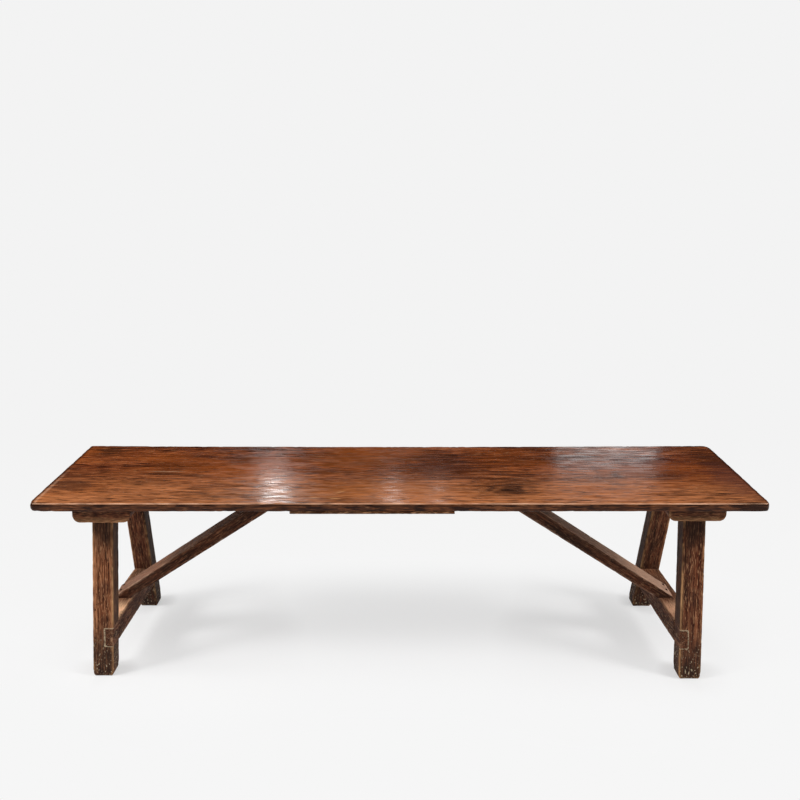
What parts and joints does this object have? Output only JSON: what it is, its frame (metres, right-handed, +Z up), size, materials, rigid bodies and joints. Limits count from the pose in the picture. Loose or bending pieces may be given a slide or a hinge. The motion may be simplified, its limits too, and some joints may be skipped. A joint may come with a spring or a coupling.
{
  "type": "refectory table",
  "caption": "Long rustic refectory table: wide plank top on splayed trestles with cross bearers, low lapped stretchers and diagonal braces.",
  "frame": {"origin": "on the floor, below the middle of the top", "axes": "+X along the table's length, +Y from its front edge to its back edge, +Z up"},
  "size_m": [2.86, 0.78, 0.76],
  "materials": {
    "top_wood": "old wax polish, worn semi-gloss",
    "trestle_wood": "dark aged surface, dry, with rubbed edges",
    "batten_wood": "dark aged surface, satin",
    "peg_wood": "cut end grain, dry",
    "nail_iron": "forged, blackened by age"
  },
  "bodies": {
    "root": {"top_plank": "top_wood", "front_batten": "batten_wood", "batten_nails": "nail_iron", "left_bearer": "trestle_wood", "right_bearer": "trestle_wood", "left_bearer_pegs": "peg_wood", "right_bearer_pegs": "peg_wood", "left_front_leg": "trestle_wood", "left_back_leg": "trestle_wood", "right_front_leg": "trestle_wood", "right_back_leg": "trestle_wood", "left_leg_wedges": "peg_wood", "right_leg_wedges": "peg_wood", "left_stretcher": "trestle_wood", "right_stretcher": "trestle_wood", "left_lap_pegs": "peg_wood", "right_lap_pegs": "peg_wood", "left_brace": "trestle_wood", "right_brace": "trestle_wood", "left_brace_head_nails": "nail_iron", "right_brace_head_nails": "nail_iron", "left_brace_foot_nails": "nail_iron", "right_brace_foot_nails": "nail_iron"}
  },
  "joints": []
}
